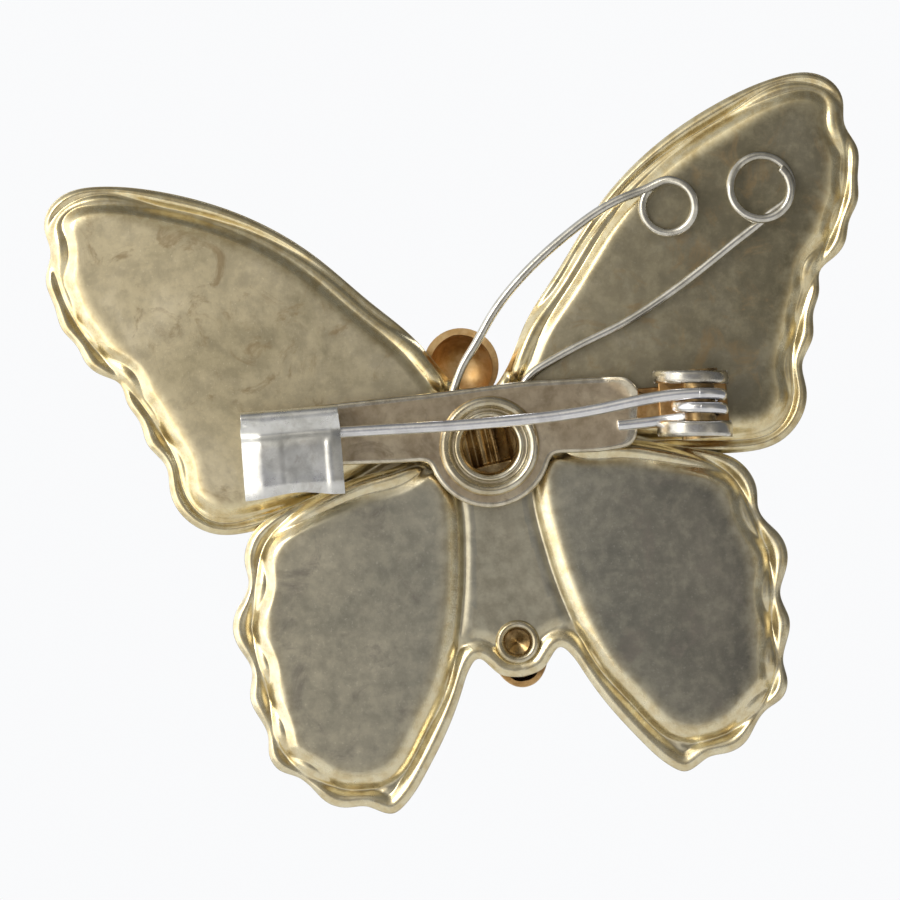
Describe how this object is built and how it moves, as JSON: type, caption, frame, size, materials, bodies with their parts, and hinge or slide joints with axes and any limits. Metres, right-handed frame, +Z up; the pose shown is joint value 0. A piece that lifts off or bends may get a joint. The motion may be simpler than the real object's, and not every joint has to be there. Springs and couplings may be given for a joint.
{
  "type": "butterfly brooch",
  "caption": "Butterfly brooch of pressed gilt sheet with enamelled wing cells, wire antennae, and a sprung pin that hooks into a folded catch on a bar at the back.",
  "frame": {"origin": "on the eyelet's axis, in the back face of the pin bar, against the cloth", "axes": "+X to the wearer's side with the catch, -X to the hinge; +Y to the back, towards the cloth; +Z up as worn"},
  "size_m": [0.0526, 0.0108, 0.0432],
  "materials": {
    "gilt_wing": "gilt, worn and tarnished, matt in the pressed cells and polished on the rims",
    "gilt_body": "gilt, worn",
    "gilt_hardware": "gilt bar, eyelet and rivet, worn and tarnished",
    "silver_plate": "silver-coloured plate, worn",
    "spring_steel": "bright plated spring wire",
    "enamel": "smooth glossy enamel"
  },
  "bodies": {
    "brooch": {"forewing_plate": "gilt_wing", "hindwing_plate": "gilt_wing", "forewing_enamel_hinge_side": "enamel", "forewing_enamel_catch_side": "enamel", "hindwing_enamel_hinge_side": "enamel", "hindwing_enamel_catch_side": "enamel", "body_shell": "gilt_body", "body_bridge": "gilt_body", "tail_rivet": "gilt_hardware", "antenna_wire": "silver_plate", "spacing_washer": "gilt_hardware", "pin_bar": "gilt_hardware", "eyelet": "gilt_hardware", "catch": "silver_plate", "hinge_bracket": "silver_plate", "hinge_rivet": "silver_plate", "spring_leg": "spring_steel"},
    "coil": {"pin_coil": "spring_steel"},
    "stem": {"pin_stem": "spring_steel"}
  },
  "joints": [
    {"name": "pin_swing", "type": "hinge", "parent": "brooch", "child": "coil", "pos_m": [-0.01357, 0.00237, 0.00075], "axis": [-0.0628, 0, 0.998], "range_deg": [0, 75], "deforming": ["pin_coil"]},
    {"name": "pin_unhook", "type": "hinge", "parent": "coil", "child": "stem", "pos_m": [-0.01352, 0.00381, 0.00143], "axis": [0, 1, 0], "range_deg": [0, 11]}
  ]
}
